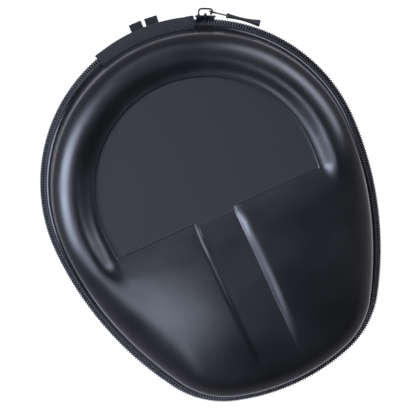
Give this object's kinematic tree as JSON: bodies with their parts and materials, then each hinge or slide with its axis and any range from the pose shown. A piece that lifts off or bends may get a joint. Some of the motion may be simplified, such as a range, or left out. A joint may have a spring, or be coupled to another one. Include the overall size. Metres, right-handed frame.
{
  "type": "headphone carrying case",
  "caption": "Egg-shaped hard-shell zip case for headphones, with a D-shaped recess, a channel between two lobes, a fabric spine and a mesh pocket.",
  "frame": {"origin": "middle of the bounding box's underside, under the case as it lies on its lower half", "axes": "+Z up, +Y towards the wide end with the spine and the zip's slider, +X to the right seen from above with +Y up"},
  "size_m": [0.205, 0.2502, 0.104],
  "materials": {
    "shell": "black leather-look PU over EVA foam board, semi-gloss, fine grain",
    "lining": "black brushed fleece",
    "binding": "black woven binding",
    "zip_tape": "dark grey woven tape",
    "zip_coil": "black nylon coil",
    "zip_metal": "black painted zinc",
    "spine_fabric": "dark grey woven fabric",
    "webbing": "black polyester webbing",
    "net": "black elastic mesh",
    "hem": "black elastic hem",
    "pull": "black ribbed soft plastic"
  },
  "bodies": {
    "base": {"base_shell": "shell", "base_lining": "lining", "base_binding": "binding", "base_zip_tape": "zip_tape", "base_zip_coil": "zip_coil", "base_zip_stops": "zip_metal", "spine_lower": "spine_fabric", "hinge_tape_lower": "binding", "webbing_tab_left": "webbing", "webbing_tab_right": "webbing"},
    "lid": {"lid_shell": "shell", "lid_lining": "lining", "lid_binding": "binding", "lid_zip_tape": "zip_tape", "lid_zip_coil": "zip_coil", "lid_zip_stops": "zip_metal", "spine_upper": "spine_fabric", "hinge_tape_upper": "binding", "pocket_net": "net", "pocket_hem": "hem"},
    "slider": {"zip_slider": "zip_metal"},
    "pull": {"pull_link": "zip_metal", "pull_grip": "pull"}
  },
  "joints": [
    {"name": "lid_hinge", "type": "hinge", "parent": "base", "child": "lid", "pos_m": [0, 0.11918, 0.052], "axis": [-1, 0, 0], "range_deg": [0, 110]},
    {"name": "slider_run", "type": "hinge", "parent": "base", "child": "slider", "pos_m": [0, 0.01537, 0.052], "axis": [0, 0, 1], "range_deg": [-50, 0]},
    {"name": "pull_swing", "type": "hinge", "parent": "slider", "child": "pull", "pos_m": [0.04739, 0.11118, 0.052], "axis": [0, 0, 1], "range_deg": [0, 150]}
  ]
}
